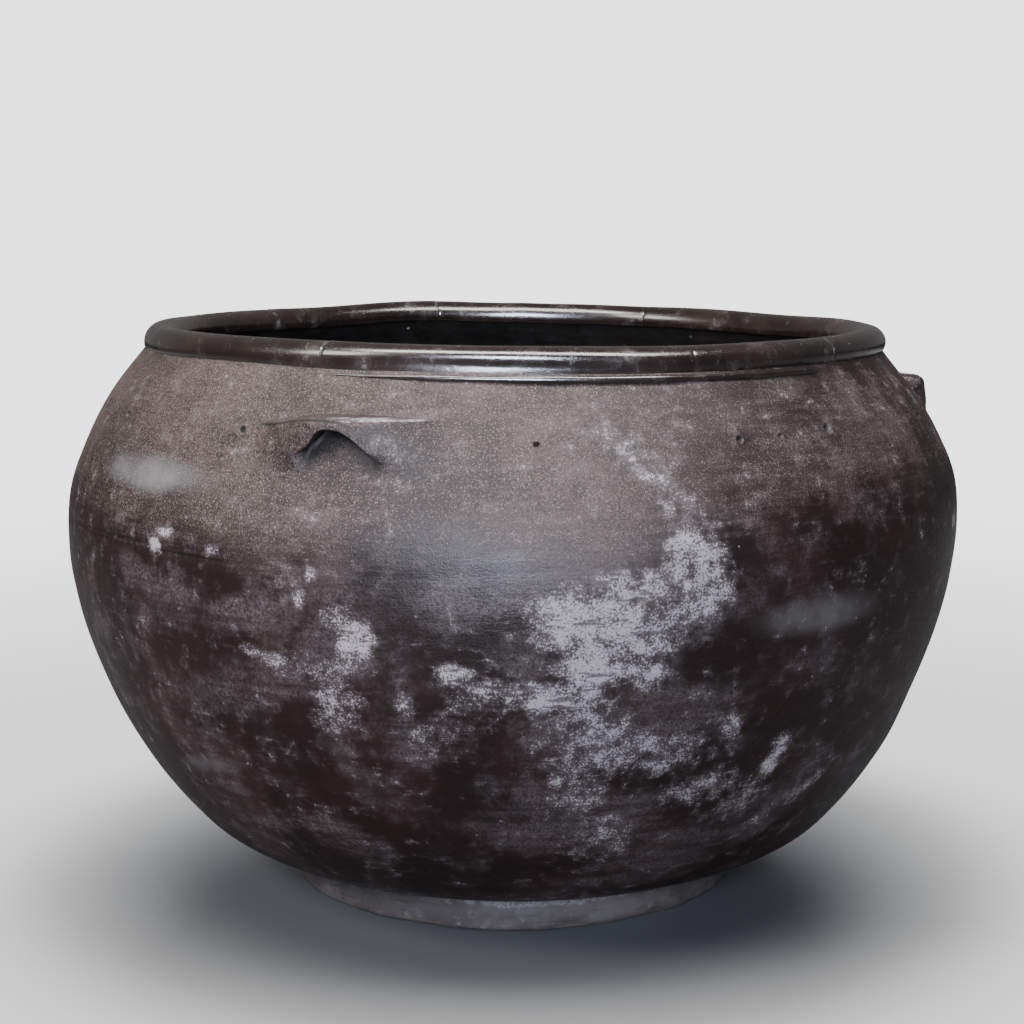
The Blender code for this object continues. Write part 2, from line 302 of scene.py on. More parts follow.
# Broad clouds of thin grey veil: azimuth, height, half width, half height, turn, strength
VEILS = (
    (-42.0, 0.325, 0.090, 0.040, 0, 0.75),
    (-12.0, 0.335, 0.085, 0.040, -6, 0.80),
    (3.0, 0.372, 0.080, 0.030, 0, 0.80),
    (-27.0, 0.268, 0.060, 0.030, 10, 0.60),
    (-9.0, 0.225, 0.050, 0.030, 0, 0.55),
    (14.0, 0.225, 0.090, 0.040, 0, 0.80),
    (22.0, 0.330, 0.060, 0.050, 20, 0.65),
    (6.0, 0.150, 0.100, 0.045, 0, 0.65),
    (28.0, 0.120, 0.090, 0.035, 20, 0.70),
    (-25.0, 0.115, 0.080, 0.025, -10, 0.45),
    (-62.0, 0.260, 0.060, 0.070, 0, 0.55),
    (-48.0, 0.335, 0.050, 0.024, -20, 0.95),
    (-33.0, 0.318, 0.050, 0.026, 25, 0.95),
    (-20.0, 0.300, 0.040, 0.040, 0, 0.80),
    (-5.0, 0.345, 0.050, 0.034, 0, 0.90),
    (2.0, 0.300, 0.040, 0.030, 0, 0.70),
    (17.0, 0.245, 0.060, 0.030, 0, 0.85),
    (58.0, 0.200, 0.050, 0.060, 0, 0.30),
    (45.0, 0.400, 0.080, 0.025, 0, 0.45),
    (38.0, 0.130, 0.080, 0.026, 34, 0.80),
    (48.0, 0.250, 0.060, 0.040, 0, 0.40),
    (-34.0, 0.250, 0.060, 0.030, 20, 0.65),
    (110.0, 0.310, 0.120, 0.050, 8, 0.65),
    (140.0, 0.200, 0.100, 0.050, -8, 0.70),
    (172.0, 0.320, 0.110, 0.050, 0, 0.65),
    (205.0, 0.240, 0.100, 0.060, 5, 0.75),
    (240.0, 0.330, 0.100, 0.040, 0, 0.70),
    (268.0, 0.180, 0.090, 0.050, 0, 0.60),
)


def veil_amount(theta, z):
    amount = np.zeros_like(theta)
    for spot in VEILS:
        amount = np.maximum(amount, patch(theta, z, spot))
    return amount


# Soft pale patches: azimuth, height, half width, half height, turn, strength
PALE_PATCHES = (
    (-48.8, 0.421, 0.074, 0.016, 0, 1.0),
    (37.5, 0.314, 0.066, 0.018, 0, 0.66),
    (-44.0, 0.170, 0.045, 0.010, 12, 0.35),
)


def pale_patch_amount(theta, z):
    return sum(patch(theta, z, spot) for spot in PALE_PATCHES)


# ---------------------------------------------------------------- mesh helpers


def outward(vertices, faces):
    """The faces, turned over if they enclose a negative volume."""
    volume = 0.0
    for face in faces:
        a = vertices[face[:, 0]]
        for i in range(1, face.shape[1] - 1):
            b, c = vertices[face[:, i]], vertices[face[:, i + 1]]
            volume += np.einsum("ij,ij->i", a, np.cross(b, c)).sum()
    return [face[:, ::-1] for face in faces] if volume < 0 else faces


def add_piece(name, vertices, faces, materials, face_slots=None, attributes=None, sharp=35):
    faces = outward(vertices, faces)
    mesh = bpy.data.meshes.new(name)
    rows = [row for group in faces for row in group.tolist()]
    mesh.from_pydata(vertices.tolist(), [], rows)
    for material in materials:
        mesh.materials.append(material)
    if face_slots is not None:
        mesh.polygons.foreach_set("material_index", np.asarray(face_slots, np.int32))
    for key, values in (attributes or {}).items():
        layer = mesh.attributes.new(key, "FLOAT", "POINT")
        layer.data.foreach_set("value", np.asarray(values, np.float32).ravel())
    mesh.shade_smooth()
    mesh.set_sharp_from_angle(angle=math.radians(sharp))
    mesh.update()
    piece = bpy.data.objects.new(name, mesh)
    bpy.context.scene.collection.objects.link(piece)
    return piece


def ring_faces(count, points, closed):
    """Quads that join count sections of this many points each, and caps if the ring is open."""
    last = count if closed else count - 1
    i = np.arange(last)[:, None]
    j = np.arange(points)[None, :]
    following = (i + 1) % count
    beside = (j + 1) % points
    quads = np.stack(
        [
            i * points + j,
            i * points + beside,
            following * points + beside,
            following * points + j,
        ],
        axis=-1,
    ).reshape(-1, 4)
    faces = [quads]
    if not closed:
        first_cap = np.arange(points)[::-1][None, :]
        last_cap = (np.arange(points) + (count - 1) * points)[None, :]
        faces += [first_cap, last_cap]
    return faces


def finish_piece(piece, node):
    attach(piece, "root")
    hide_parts(node)


# ---------------------------------------------------------------- material nodes


class Clay:
    """A material's node tree, with short names for the nodes that the clays are made of."""

    def __init__(self, name):
        self.material = bpy.data.materials.new(name)
        self.material.use_nodes = True
        self.tree = self.material.node_tree
        self.shader = self.tree.nodes["Principled BSDF"]
        self.place = self.tree.nodes.new("ShaderNodeTexCoord").outputs["Object"]

    def join(self, value, socket):
        if isinstance(value, bpy.types.NodeSocket):
            self.tree.links.new(value, socket)
        elif isinstance(value, (tuple, list)) and len(value) == 3 and socket.type == "RGBA":
            socket.default_value = (*value, 1)
        else:
            socket.default_value = value

    def math(self, kind, a, b=0.0):
        node = self.tree.nodes.new("ShaderNodeMath")
        node.operation = kind
        self.join(a, node.inputs[0])
        self.join(b, node.inputs[1])
        return node.outputs[0]

    def times(self, a, b):
        return self.math("MULTIPLY", a, b)

    def plus(self, value, other, weight):
        """The value and a share of another one."""
        return self.math("ADD", value, self.times(other, weight))

    def swayed(self, value, noise, weight):
        """The value moved up and down by a noise that is 0.5 on average."""
        return self.plus(value, self.math("SUBTRACT", noise, 0.5), weight)

    def step(self, value, low, high, start=0.0, end=1.0):
        node = self.tree.nodes.new("ShaderNodeMapRange")
        node.interpolation_type = "SMOOTHSTEP"
        self.join(value, node.inputs["Value"])
        self.join(low, node.inputs["From Min"])
        self.join(high, node.inputs["From Max"])
        self.join(start, node.inputs["To Min"])
        self.join(end, node.inputs["To Max"])
        return node.outputs["Result"]

    def mix(self, share, a, b):
        node = self.tree.nodes.new("ShaderNodeMix")
        node.data_type = "RGBA"
        self.join(share, node.inputs["Factor"])
        self.join(a, node.inputs[6])
        self.join(b, node.inputs[7])
        return node.outputs[2]

    def blend(self, share, a, b):
        node = self.tree.nodes.new("ShaderNodeMix")
        node.data_type = "FLOAT"
        self.join(share, node.inputs["Factor"])
        self.join(a, node.inputs[2])
        self.join(b, node.inputs[3])
        return node.outputs[0]

    def stretched(self, x, y, z, move=(0, 0, 0)):
        node = self.tree.nodes.new("ShaderNodeMapping")
        self.join(self.place, node.inputs["Vector"])
        node.inputs["Scale"].default_value = (x, y, z)
        node.inputs["Location"].default_value = move
        return node.outputs["Vector"]

    def noise(self, scale, detail=4, rough=0.55, place=None, warp=0.0):
        node = self.tree.nodes.new("ShaderNodeTexNoise")
        self.join(place or self.place, node.inputs["Vector"])
        node.inputs["Scale"].default_value = scale
        node.inputs["Detail"].default_value = detail
        node.inputs["Roughness"].default_value = rough
        node.inputs["Distortion"].default_value = warp
        return node.outputs["Fac"]

    def specks(self, scale):
        node = self.tree.nodes.new("ShaderNodeTexVoronoi")
        self.join(self.place, node.inputs["Vector"])
        node.inputs["Scale"].default_value = scale
        return node.outputs["Distance"], node.outputs["Color"]

    def attribute(self, name):
        node = self.tree.nodes.new("ShaderNodeAttribute")
        node.attribute_name = name
        return node.outputs["Fac"]

    def bump(self, height, strength, distance, normal=None):
        node = self.tree.nodes.new("ShaderNodeBump")
        node.inputs["Strength"].default_value = strength
        node.inputs["Distance"].default_value = distance
        self.join(height, node.inputs["Height"])
        if normal is not None:
            self.join(normal, node.inputs["Normal"])
        return node.outputs["Normal"]

    def finish(self, colour, roughness, normal):
        self.join(colour, self.shader.inputs["Base Color"])
        self.join(roughness, self.shader.inputs["Roughness"])
        self.join(normal, self.shader.inputs["Normal"])
        self.shader.inputs["IOR"].default_value = 1.45
        return self.material


DARK = (0.0270, 0.0142, 0.0136)
DARK_WARM = (0.0420, 0.0185, 0.0165)
DARK_GREY = (0.0500, 0.0390, 0.0400)
DUST = (0.1350, 0.0920, 0.0850)
DUST_SHADE = (0.0270, 0.0160, 0.0146)
VEIL = (0.2000, 0.1630, 0.1720)
CHALK = (0.8400, 0.7600, 0.8200)
RIM_DARK = (0.0230, 0.0135, 0.0125)
RIM_BROWN = (0.0420, 0.0260, 0.0230)


def body_clay():
    clay = Clay("burnished_black_clay")
    coarse = clay.noise(7, 4, 0.6, warp=0.4)
    patchy = clay.noise(26, 5, 0.62)
    ragged = clay.noise(75, 6, 0.66)
    fine = clay.noise(420, 3, 0.6)
    grain = clay.noise(950, 2, 0.6)
    strokes = clay.noise(30, 5, 0.62, clay.stretched(1, 1, 9))
    long_strokes = clay.noise(9, 4, 0.6, clay.stretched(1, 1, 14))

    # bare clay: nearly black, browner in places, with faint rubbed strokes
    colour = clay.mix(clay.step(coarse, 0.42, 0.62), DARK, DARK_WARM)
    colour = clay.mix(clay.step(patchy, 0.50, 0.72, 0, 0.55), colour, DARK_GREY)
    colour = clay.mix(clay.step(strokes, 0.56, 0.74, 0, 0.45), colour, DARK_GREY)

    # a thin grey veil in soft clouds, broken by the strokes and the grain
    veil = clay.plus(coarse, patchy, 0.6)
    veil = clay.plus(veil, clay.attribute("veil"), 0.34)
    veil = clay.step(clay.plus(veil, ragged, 0.3), 0.92, 1.20)
    veil = clay.times(veil, clay.step(fine, 0.36, 0.64, 0.25, 1.0))
    veil = clay.times(veil, clay.step(long_strokes, 0.34, 0.60, 0.35, 1.0))
    colour = clay.mix(clay.times(veil, 0.72), colour, VEIL)

    # dust on the shoulder, with painted glints among its specks
    dust = clay.attribute("dust")
    dust_edge = clay.swayed(dust, ragged, 0.9)
    dust_edge = clay.swayed(dust_edge, strokes, 0.7)
    dust_edge = clay.swayed(dust_edge, coarse, 1.3)
    dust_edge = clay.swayed(dust_edge, patchy, 0.6)
    dusty = clay.step(dust_edge, 0.05, 0.85)
    speckle = clay.plus(clay.times(clay.noise(640, 3, 0.65), 0.70), fine, 0.30)
    speckle = clay.swayed(speckle, ragged, 0.16)
    speckle = clay.swayed(speckle, strokes, 0.28)
    speckle = clay.swayed(speckle, coarse, 0.42)
    speckle = clay.swayed(speckle, patchy, 0.34)
    speckle = clay.step(speckle, 0.38, 0.64)
    dust_and_glint_colour = clay.mix(speckle, DUST_SHADE, DUST)
    # painted glints: bright specks in the dust stand in for glints of light
    painted_glints = clay.step(clay.noise(760, 2, 0.6), 0.57, 0.66, 0.0, 0.62)
    dust_and_glint_colour = clay.mix(painted_glints, dust_and_glint_colour, (0.560, 0.460, 0.420))
    colour = clay.mix(clay.times(dusty, 0.88), colour, dust_and_glint_colour)

    # soft pale patches
    pale_patch = clay.times(clay.attribute("pale_patch"), clay.step(patchy, 0.30, 0.62, 0.55, 1.0))
    colour = clay.mix(clay.times(pale_patch, 0.75), colour, (0.33, 0.32, 0.33))

    # white deposits, in grains that crowd together towards the middle of each patch
    amount = clay.attribute("deposit")
    edge = clay.swayed(amount, ragged, 1.9)
    edge = clay.swayed(edge, strokes, 0.7)
    edge = clay.swayed(edge, patchy, 0.9)
    body = clay.step(edge, 0.16, 0.42)
    thick = clay.step(edge, 0.25, 1.15)
    under = clay.times(clay.step(edge, 0.0, 0.85), clay.step(ragged, 0.30, 0.62, 0.45, 0.85))
    colour = clay.mix(under, colour, VEIL)
    grains = clay.plus(clay.times(clay.noise(560, 3, 0.7), 0.8), ragged, 0.2)
    grains = clay.swayed(grains, thick, 0.15)
    cover = clay.times(body, clay.step(grains, 0.46, 0.60))
    cover = clay.times(cover, clay.blend(thick, 0.62, 0.94))
    flakes = clay.noise(40, 4, 0.6, clay.stretched(1, 1, 5, (3.1, 1.7, 0.4)))
    cover = clay.times(cover, clay.step(flakes, 0.57, 0.63, 1.0, 0.15))
    colour = clay.mix(cover, colour, CHALK)

    # single white specks
    distance, tint = clay.specks(105)
    speck = clay.step(distance, 0.055, 0.115, 1.0, 0.0)
    chosen = clay.step(tint, 0.86, 0.90)
    speck = clay.times(speck, chosen)
    colour = clay.mix(clay.times(speck, 0.8), colour, (0.55, 0.53, 0.52))

    # painted shade: the pits, the joint creases, the lugs' crack lines and their finger hollows are
    # darkened in the colour
    painted_shade = clay.attribute("painted_shade")
    colour = clay.mix(painted_shade, colour, (0.006, 0.005, 0.005))

    rough = clay.step(coarse, 0.35, 0.65, 0.32, 0.42)
    rough = clay.math("ADD", rough, clay.step(fine, 0.35, 0.7, 0.0, 0.08))
    rough = clay.blend(clay.times(dusty, 0.85), rough, 0.66)
    clay.shader.inputs["Specular IOR Level"].default_value = 0.38
    rough = clay.blend(cover, rough, 0.85)

    height = clay.times(clay.math("SUBTRACT", strokes, 0.5), 0.5)
    height = clay.plus(height, patchy, 0.8)
    normal = clay.bump(height, 0.35, 0.0015)
    normal = clay.bump(clay.plus(ragged, fine, 0.7), 0.35, 0.0007, normal)
    normal = clay.bump(clay.plus(grain, cover, 1.2), 0.55, 0.0006, normal)
    return clay.finish(colour, rough, normal)


def inner_clay():
    clay = Clay("dark_inner_clay")
    coarse = clay.noise(10, 4, 0.6)
    ragged = clay.noise(60, 5, 0.62)
    wiped = clay.noise(22, 5, 0.6, clay.stretched(1, 1, 7))
    colour = clay.mix(clay.step(coarse, 0.4, 0.65), (0.010, 0.008, 0.008), (0.020, 0.015, 0.014))
    colour = clay.mix(clay.step(wiped, 0.55, 0.75, 0, 0.6), colour, (0.040, 0.034, 0.032))
    colour = clay.mix(clay.step(ragged, 0.66, 0.76, 0, 0.5), colour, (0.160, 0.150, 0.150))
    distance, tint = clay.specks(95)
    speck = clay.times(clay.step(distance, 0.10, 0.22, 1.0, 0.0), clay.step(tint, 0.72, 0.76))
    colour = clay.mix(clay.times(speck, clay.step(coarse, 0.44, 0.56)), colour, (0.55, 0.52, 0.50))
    normal = clay.bump(clay.plus(wiped, ragged, 0.5), 0.5, 0.0016)
    normal = clay.bump(clay.noise(420, 3, 0.6), 0.3, 0.0005, normal)
    return clay.finish(colour, clay.step(ragged, 0.3, 0.7, 0.42, 0.62), normal)


def rim_clay():
    clay = Clay("polished_rim_clay")
    coarse = clay.noise(12, 4, 0.6)
    patchy = clay.noise(38, 5, 0.62)
    ragged = clay.noise(95, 5, 0.65)
    fine = clay.noise(420, 3, 0.6)
    grain = clay.noise(950, 2, 0.6)
    colour = clay.mix(clay.step(coarse, 0.42, 0.62), RIM_DARK, RIM_BROWN)
    colour = clay.mix(clay.step(patchy, 0.48, 0.72, 0, 0.6), colour, (0.0720, 0.0540, 0.0500))
    worn = clay.swayed(ragged, patchy, 0.9)
    worn = clay.step(worn, 0.60, 0.78)
    worn = clay.times(worn, clay.step(fine, 0.40, 0.58))
    colour = clay.mix(clay.times(worn, 0.60), colour, (0.230, 0.205, 0.190))
    seam = clay.attribute("seam")
    seam = clay.times(seam, clay.step(clay.plus(ragged, coarse, 0.5), 0.74, 0.94))
    colour = clay.mix(clay.times(seam, 0.7), colour, (0.22, 0.20, 0.185))
    distance, tint = clay.specks(120)
    speck = clay.times(clay.step(distance, 0.05, 0.12, 1.0, 0.0), clay.step(tint, 0.84, 0.88))
    colour = clay.mix(clay.times(speck, 0.8), colour, (0.50, 0.48, 0.46))
    rough = clay.step(patchy, 0.35, 0.70, 0.18, 0.32)
    rough = clay.blend(worn, rough, 0.50)
    clay.shader.inputs["Specular IOR Level"].default_value = 0.7
    clay.shader.inputs["Coat Weight"].default_value = 0.9
    clay.shader.inputs["Coat Roughness"].default_value = 0.16
    normal = clay.bump(clay.plus(patchy, ragged, 0.5), 0.40, 0.0014)
    normal = clay.bump(clay.math("ADD", grain, fine), 0.32, 0.0005, normal)
    return clay.finish(colour, rough, normal)


def foot_clay():
    clay = Clay("worn_foot_clay")
    coarse = clay.noise(14, 4, 0.6)
    patchy = clay.noise(45, 5, 0.62)
    ragged = clay.noise(110, 5, 0.65)
    fine = clay.noise(460, 3, 0.6)
    strokes = clay.noise(26, 5, 0.62, clay.stretched(1, 1, 8))
    colour = clay.mix(clay.step(coarse, 0.40, 0.64), (0.125, 0.106, 0.105), (0.225, 0.200, 0.200))
    colour = clay.mix(clay.step(strokes, 0.52, 0.72, 0, 0.6), colour, (0.045, 0.035, 0.034))
    colour = clay.mix(clay.step(ragged, 0.56, 0.72, 0, 0.6), colour, (0.340, 0.325, 0.335))
    chip = clay.attribute("chip")
    chip = clay.step(clay.swayed(chip, ragged, 1.4), 0.45, 0.60)
    colour = clay.mix(clay.times(chip, 0.85), colour, (0.240, 0.185, 0.165))
    deposit = clay.attribute("deposit")
    pale = clay.swayed(deposit, ragged, 1.6)
    pale = clay.times(clay.step(pale, 0.24, 0.60), clay.step(fine, 0.36, 0.56))
    colour = clay.mix(clay.times(pale, 0.85), colour, (0.47, 0.44, 0.46))
    normal = clay.bump(clay.plus(patchy, ragged, 0.7), 0.5, 0.0018)
    normal = clay.bump(fine, 0.4, 0.0006, normal)
    return clay.finish(colour, clay.step(ragged, 0.3, 0.7, 0.62, 0.86), normal)


BODY = body_clay()
INNER = inner_clay()
RIM = rim_clay()
FOOT = foot_clay()

# ---------------------------------------------------------------- wall


def pit_depth(theta, z):
    """How far the small pits in the shoulder go in, less the raised lip round each."""
    depth = np.zeros_like(theta)
    for azimuth, height, size in PITS:
        across = np.radians(wrapped(theta - azimuth)) * PIT_RADIUS
        near = np.hypot(across, (z - height) * 1.25) / (0.0019 * size)
        depth += 0.0030 * size * (1 - smooth(0.35, 1.25, near))
        depth -= 0.0005 * size * np.exp(-(((near - 1.8) / 0.5) ** 2))
    return depth


def joint_groove(theta, z):
    """The joints between the bands show as faint grooves, deepest at the left of the belly."""
    groove = np.zeros_like(theta)
    left = np.exp(-((wrapped(theta + 48) / 26) ** 2))
    for height in JOINTS[1:]:
        wander = 0.0022 * np.sin(np.radians(theta * 5))
        wander += 0.0012 * np.sin(np.radians(theta * 13 + 40))
        line = np.exp(-(((z - height - wander) / 0.0034) ** 2))
        strength = 0.00018 + (0.0011 * left if abs(height - JOINTS[3]) < 0.01 else 0)
        groove += strength * line
    return groove


def band_columns(index):
    columns = np.arange(0, 360, COLUMN_STEP)
    if index != len(BANDS) - 1:
        return columns
    near_pits = [azimuth + step for azimuth, _, _ in PITS for step in np.arange(-0.72, 0.73, 0.12)]
    columns = np.sort(np.concatenate([columns, np.array(near_pits) % 360]))
    return columns[np.concatenate([[True], np.diff(columns) > 0.05])]


def band_rows(low, high, index):
    rows = np.linspace(low, high, max(6, round((high - low) / 0.0034)))
    if index == len(BANDS) - 1:
        rows = np.sort(np.concatenate([rows, np.arange(0.4540, 0.4700, 0.0007)]))
        rows = rows[np.concatenate([[True], np.diff(rows) > 0.0003])]
    return rows


def make_band(index):
    name = BANDS[index]
    low = JOINTS[index]
    last = index == len(BANDS) - 1
    high = NECK_TOP if last else JOINTS[index + 1]
    columns = band_columns(index)
    rows = band_rows(low, high, index)
    inner_low = low if index == 0 else low + SCARF_RISE
    inner_high = high if last else high + SCARF_RISE
    inner_rows = np.linspace(inner_high, inner_low, max(6, round((inner_high - inner_low) / 0.008)))
    theta, z = np.meshgrid(columns, rows, indexing="ij")
    outer_radius = wall_radius(z) - joint_groove(theta, z) * smooth(low, low + 0.002, z)
    if last:
        outer_radius = outer_radius - pit_depth(theta, z)
    outer = on_pot(theta, outer_radius, z)
    theta_in, z_in = np.meshgrid(columns, inner_rows, indexing="ij")
    inner = on_pot(theta_in, inside_radius(z_in), z_in)
    sections = np.concatenate([outer, inner], axis=1)
    count, points = sections.shape[:2]
    faces = ring_faces(count, points, closed=True)
    slots = np.zeros((count, points), np.int32)
    slots[:, len(rows) - 1 :] = 1
    # painted shade: the pits in the shoulder and the joint creases are darkened in the colour
    pits = pit_depth(theta, z) if last else np.zeros_like(theta)
    painted_crease_shade = smooth(0.0007, 0.0015, joint_groove(theta, z)) * 0.85
    zero = np.zeros_like(theta_in)
    together = [
        ("deposit", deposit_amount(theta, z)),
        ("dust", dust_amount(theta, z)),
        ("pale_patch", pale_patch_amount(theta, z)),
        ("veil", veil_amount(theta, z)),
        ("painted_shade", np.maximum(smooth(0.0012, 0.0026, pits) * 0.85, painted_crease_shade)),
    ]
    attributes = {key: np.concatenate([value, zero], axis=1) for key, value in together}
    piece = add_piece(
        f"look_{name}", sections.reshape(-1, 3), faces, (BODY, INNER), slots.ravel(), attributes
    )
    finish_piece(piece, name)


# ---------------------------------------------------------------- foot and floor of the pot


def make_foot():
    bore, ledge_bore, ledge_top = 0.176, 0.158, 0.008
    columns = np.arange(0, 360, COLUMN_STEP)
    heights = np.array(
        [0.0, 0.0006, 0.0020, 0.0045, 0.008, 0.012, 0.017, 0.022, 0.026, 0.029, FOOT_TOP]
    )
    radii = np.array(
        [0.2105, 0.2122, 0.2136, 0.2142, 0.2145, 0.2150, 0.2158, 0.2168, 0.2176, 0.2176, 0.2155]
    )
    theta, z = np.meshgrid(columns, heights, indexing="ij")
    turn = np.radians(theta)
    radius = np.broadcast_to(radii, theta.shape).copy()
    radius += 0.0007 * np.sin(3 * turn + 1) + 0.0005 * np.sin(8 * turn + 2)
    radius += 0.0004 * np.sin(19 * turn + 90 * z) + 0.0003 * np.sin(37 * turn + 4)
    chips = np.zeros_like(theta)
    for azimuth, width, depth in (
        (-22, 9, 0.0022), (14, 5, 0.0012), (29, 10, 0.0030), (38, 5, 0.0020),
        (-48, 6, 0.0016), (95, 12, 0.0020), (160, 9, 0.0024), (238, 7, 0.0018),
    ):  # fmt: skip
        bite = np.exp(-((wrapped(theta - azimuth) / width) ** 2)) * (1 - smooth(0.001, 0.009, z))
        chips = np.maximum(chips, bite)
        radius -= depth * bite
    outer = on_pot(theta, radius, z, uneven=0.5)

    def edge(edge_radius, edge_height):
        return on_pot(columns, edge_radius, edge_height, uneven=0.0)[:, None]

    # the sole's inner edge, the outer side, then the bore and the ledge inside it
    sections = np.concatenate(
        [
            edge(ledge_bore, 0.0),
            outer,
            edge(bore, FOOT_TOP),
            edge(bore, ledge_top),
            edge(ledge_bore, ledge_top),
        ],
        axis=1,
    )
    sections[:, 0, 2] = 0.0
    sections[:, 1, 2] = 0.0
    count, points = sections.shape[:2]
    pad = ((0, 0), (1, 3))
    top_line = 0.85 * smooth(0.021, 0.028, z) * (0.6 + 0.4 * np.sin(5 * turn + 1.0))
    attributes = {
        "chip": np.pad(chips, pad),
        "deposit": np.pad(np.clip(top_line, 0, 1), pad),
    }
    piece = add_piece(
        "look_foot_ring",
        sections.reshape(-1, 3),
        ring_faces(count, points, closed=True),
        (FOOT,),
        None,
        attributes,
    )
    finish_piece(piece, "foot_ring")


def make_slab():
    """The floor of the pot: a disc that dips a little, with the potter's finger rings on it."""
    low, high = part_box("base_slab")
    edge = (high.x - low.x) / 2
    columns = np.arange(0, 360, 3.0)
    rings = np.linspace(edge, 0.004, 46)
    top_height = high.z - 0.0006 - 0.0012 * (1 - (rings / edge) ** 2)
    top_height -= 0.0004 * (1 + np.sin(rings * 420))
    theta, radius = np.meshgrid(columns, rings, indexing="ij")
    turn = np.radians(theta)

    def disc(heights):
        x, y = radius * np.sin(turn), -radius * np.cos(turn)
        return np.stack([x, y, np.broadcast_to(heights, x.shape)], axis=-1)

    top = disc(top_height)
    bottom = disc(np.full_like(rings, low.z))[:, [0, -1]]
    sections = np.concatenate([bottom[:, ::-1], top], axis=1)
    count, points = sections.shape[:2]
    quads = ring_faces(count, points, closed=True)[0]
    closing = (np.arange(points) == points - 1)[None, :].repeat(count, 0).ravel()
    vertices = sections.reshape(-1, 3)
    top_hole = (np.arange(count) * points + points - 1)[None, :]
    bottom_hole = (np.arange(count)[::-1] * points)[None, :]
    faces = [quads[~closing], top_hole, bottom_hole]
    piece = add_piece("look_base_slab", vertices, faces, (INNER,))
    finish_piece(piece, "base_slab")


# ---------------------------------------------------------------- rim and bead


def make_rim():
    corners = 44
    turn = 2 * np.pi * (np.arange(corners) + 0.5) / corners
    middle = RIM_TOP - RIM_ROLL
    ends = (*RIM_JOINTS[1:], RIM_JOINTS[0] + 360)
    for number, (start, end) in enumerate(zip(RIM_JOINTS, ends), 1):
        inner_columns = np.arange(start + 0.6, end - 0.5, 0.6)
        near = np.array([0.012, 0.05, 0.12, 0.22, 0.36])
        columns = np.concatenate([start + near, inner_columns, (end - near)[::-1]])
        theta, around = np.meshgrid(columns, turn, indexing="ij")
        from_end = np.minimum(theta - start, end - theta)
        seam = 1 - smooth(0.0, 0.34, from_end)
        thick = 0.985 + 0.022 * np.sin(np.radians(theta * 4 + 50 * number)) - 0.022 * seam
        thick += 0.018 * np.sin(np.radians(theta * 11 + 20))
        thick += 0.010 * np.sin(3 * around + theta * 0.12)
        # along the front the coil was pinched into two soft lips with a shallow waist between them
        pinch = np.exp(-(((theta + 1) / 24) ** 2)) * np.exp(-(((np.sin(around) + 0.1) / 0.8) ** 2))
        thick -= 0.100 * pinch * (1 + np.cos(4 * (around + 0.04))) * (np.cos(around) > 0)
        roll = RIM_ROLL * np.clip(thick, 0.76, 1.03)
        z = middle + roll * np.sin(around)
        radius = RIM_RADIUS + roll * 1.02 * np.cos(around)
        z = np.maximum(z, NECK_TOP)
        sections = on_pot(theta, radius, z)
        count, points = sections.shape[:2]
        attributes = {"seam": 1 - smooth(0.3, 1.1, from_end * (1 + 0.4 * np.sin(around * 3)))}
        piece = add_piece(
            f"look_rim_coil_{number}",
            sections.reshape(-1, 3),
            ring_faces(count, points, closed=False),
            (RIM,),
            None,
            attributes,
            sharp=50,
        )
        finish_piece(piece, f"rim_coil_{number}")


def make_bead():
    low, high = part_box("neck_bead")
    height = (low.z + high.z) / 2
    start, end = -35.5, 49.0
    columns = np.arange(start, end + 0.01, 0.5)
    turn = 2 * np.pi * np.arange(20) / 20
    theta, around = np.meshgrid(columns, turn, indexing="ij")
    taper = 0.03 + 0.97 * smooth(0, 34, theta - start) * smooth(0, 5.0, end + 0.4 - theta)
    wander = 0.0004 * np.sin(np.radians(theta * 9)) + 0.0003 * np.sin(np.radians(theta * 23))
    size = (0.0031 + wander) * taper
    radius = wall_radius(height) - 0.0003 + 0.0027 * taper + size * np.cos(around)
    z = height - 0.0010 + size * 1.05 * np.sin(around)
    sections = on_pot(theta, radius, z)
    count, points = sections.shape[:2]
    piece = add_piece(
        "look_neck_bead",
        sections.reshape(-1, 3),
        ring_faces(count, points, closed=False),
        (RIM,),
        None,
        {"seam": np.zeros_like(theta)},
    )
    finish_piece(piece, "neck_bead")


# ---------------------------------------------------------------- lugs

LUG_REACH = 0.084
LUG_TOP = 0.4775
LUG_BOTTOM = 0.4240
LUG_FACE = 0.4088
ARCH_FOOT = 0.4425
# the lip of the finger hollow: distance across the wall, height
ARCH = (
    (-0.0450, 0.4455),
    (-0.0300, 0.4500),
    (-0.0238, 0.4532),
    (-0.0188, 0.4566),
    (-0.0139, 0.4645),
    (-0.0095, 0.4674),
    (-0.0030, 0.4680),
    (0.0040, 0.4676),
    (0.0105, 0.4650),
    (0.0172, 0.4605),
    (0.0235, 0.4545),
    (0.0297, 0.4490),
    (0.0365, 0.4452),
    (0.0450, 0.4440),
)
SKIN = 0.0010
SHELF_POINTS = 5
CORNER_POINTS = 9
FACE_POINTS = 11


def arch_lip(across):
    """The height of the hollow's lip, rounded a little at the knots."""
    places, heights = zip(*ARCH)
    return sum(np.interp(across + step, places, heights) for step in (-0.002, 0.0, 0.002)) / 3


def hollow_share(across):
    """1 across the finger hollow and 0 to both sides of it."""
    return smooth(-0.0340, -0.0250, across) * (1 - smooth(0.0290, 0.0390, across))


